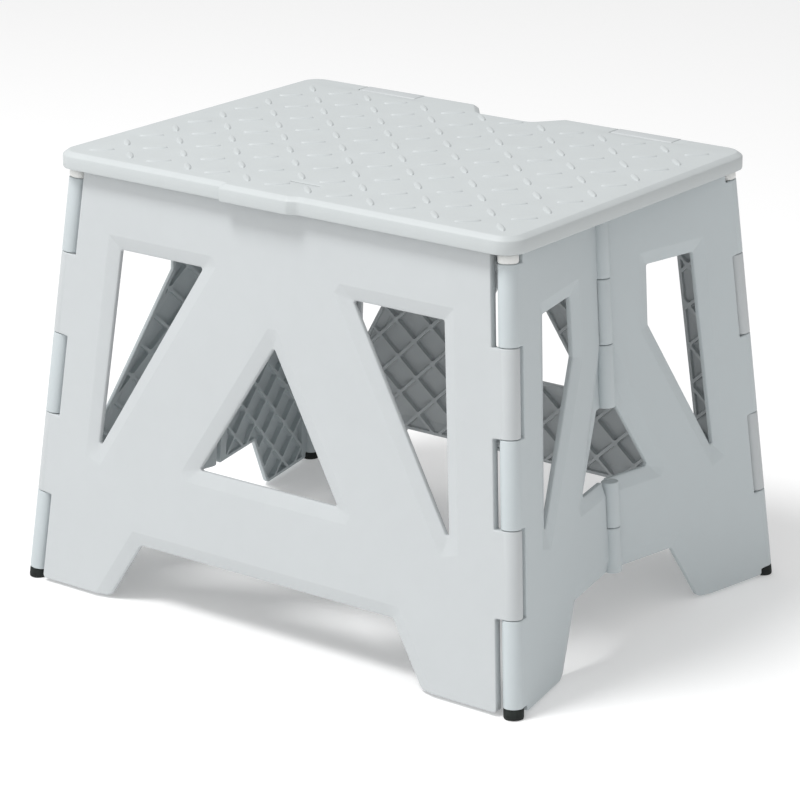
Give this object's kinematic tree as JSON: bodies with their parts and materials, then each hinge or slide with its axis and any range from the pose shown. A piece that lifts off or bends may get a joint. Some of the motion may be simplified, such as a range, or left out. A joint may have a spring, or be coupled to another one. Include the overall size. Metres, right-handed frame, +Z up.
{
  "type": "step stool",
  "caption": "Folding plastic step stool with a textured tread, truss-shaped leaning panels, hinged end panels that fold inwards and rubber feet.",
  "frame": {"origin": "on the floor, at the centre of the footprint", "axes": "+X along the long side of the tread, +Y to the hinged rear edge of the tread, +Z up"},
  "size_m": [0.3972, 0.3064, 0.291],
  "materials": {
    "tread_plastic": "fine matt texture with raised tread bars",
    "frame_plastic": "fine matt texture",
    "end_plastic": "fine matt texture",
    "cap_nylon": "satin",
    "hinge_steel": "drawn wire",
    "foot_rubber": "matt"
  },
  "bodies": {
    "rear_frame": {"back_panel": "frame_plastic"},
    "tread": {"top_panel": "tread_plastic", "tread_pin_right": "hinge_steel", "tread_pin_left": "hinge_steel"},
    "front": {"front_panel": "frame_plastic"},
    "right_front": {"right_front_side": "end_plastic", "hinge_pin_front_right": "hinge_steel", "pin_cap_front_right": "cap_nylon", "foot_front_right": "foot_rubber", "middle_pin_upper_right": "hinge_steel", "middle_pin_lower_right": "hinge_steel"},
    "right_rear": {"right_rear_side": "end_plastic", "hinge_pin_rear_right": "hinge_steel", "pin_cap_rear_right": "cap_nylon", "foot_rear_right": "foot_rubber"},
    "left_front": {"left_front_side": "end_plastic", "hinge_pin_front_left": "hinge_steel", "pin_cap_front_left": "cap_nylon", "foot_front_left": "foot_rubber", "middle_pin_upper_left": "hinge_steel", "middle_pin_lower_left": "hinge_steel"},
    "left_rear": {"left_rear_side": "end_plastic", "hinge_pin_rear_left": "hinge_steel", "pin_cap_rear_left": "cap_nylon", "foot_rear_left": "foot_rubber"}
  },
  "joints": [
    {"name": "tread_lift", "type": "hinge", "parent": "rear_frame", "child": "tread", "pos_m": [0, 0.1315, 0.2875], "axis": [-1, 0, 0], "range_deg": [0, 262]},
    {"name": "fold", "type": "hinge", "parent": "rear_frame", "child": "right_rear", "pos_m": [0.1923, 0.1469, 0], "axis": [0.0914, 0.0875, -0.992], "range_deg": [0, 79.1]},
    {"name": "right_middle", "type": "hinge", "parent": "right_rear", "child": "right_front", "pos_m": [0.17028, 0, 0], "axis": [-0.0748, 0, 0.9972], "range_deg": [0, 157.41]},
    {"name": "front_right_corner", "type": "hinge", "parent": "right_front", "child": "front", "pos_m": [0.1923, -0.1469, 0], "axis": [0.0914, -0.0875, -0.992], "range_deg": [0, 79.15]},
    {"name": "rear_left_corner", "type": "hinge", "parent": "rear_frame", "child": "left_rear", "pos_m": [-0.1923, 0.1469, 0], "axis": [0.0914, -0.0875, 0.992], "range_deg": [0, 79.15]},
    {"name": "left_middle", "type": "hinge", "parent": "left_rear", "child": "left_front", "pos_m": [-0.17028, 0, 0], "axis": [-0.0748, 0, -0.9972], "range_deg": [0, 157.41]}
  ],
  "couplings": [
    {"joint": "right_middle", "follows": "fold", "ratio": 1.9894},
    {"joint": "front_right_corner", "follows": "fold", "ratio": 1},
    {"joint": "rear_left_corner", "follows": "fold", "ratio": 1},
    {"joint": "left_middle", "follows": "fold", "ratio": 1.9894}
  ]
}
